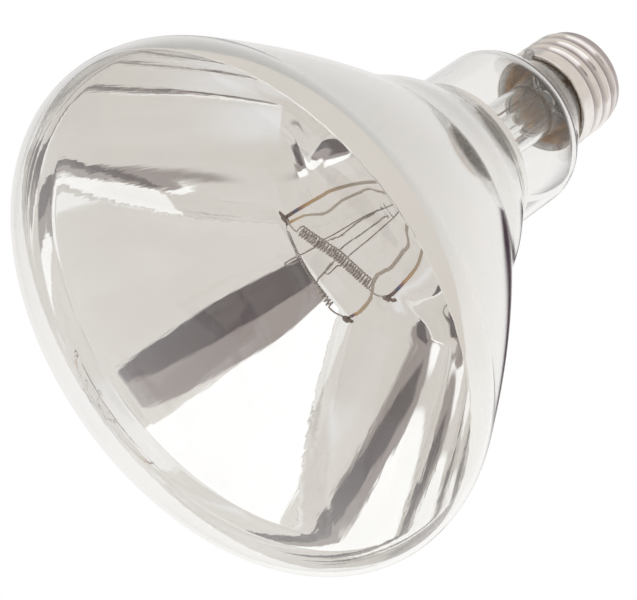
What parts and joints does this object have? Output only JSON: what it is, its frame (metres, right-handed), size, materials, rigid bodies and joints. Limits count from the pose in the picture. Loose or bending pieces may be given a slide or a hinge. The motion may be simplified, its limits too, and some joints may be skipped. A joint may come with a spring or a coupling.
{
  "type": "reflector bulb",
  "caption": "Clear infrared reflector bulb with a domed face, a mirrored funnel with stepped rings, a clear neck and a screw cap.",
  "frame": {"origin": "middle of the centre contact's outer face, on the lamp's axis", "axes": "+Z along the lamp's axis, from the cap to the face"},
  "size_m": [0.127, 0.127, 0.1597],
  "materials": {
    "clear_glass": "gloss",
    "mirror_film": "gloss",
    "cap_metal": "satin",
    "black_glass": "gloss",
    "brass_contact": "satin",
    "solder": "satin",
    "cement": "matte",
    "nickel_wire": "satin",
    "copper_wire": "satin",
    "tungsten": "satin"
  },
  "bodies": {
    "root": {"glass_envelope": "clear_glass", "mirror_film": "mirror_film", "screw_shell": "cap_metal", "insulator": "black_glass", "centre_contact": "brass_contact", "contact_solder": "solder", "basing_cement": "cement", "rim_solder": "solder", "glass_stem": "clear_glass", "exhaust_tube": "clear_glass", "inner_lead_left": "nickel_wire", "inner_lead_right": "nickel_wire", "seal_left": "copper_wire", "seal_right": "copper_wire", "side_tail": "copper_wire", "centre_tail": "copper_wire", "filament": "tungsten", "support_rod": "clear_glass", "support_wire_left": "nickel_wire", "support_wire_right": "nickel_wire"}
  },
  "joints": []
}
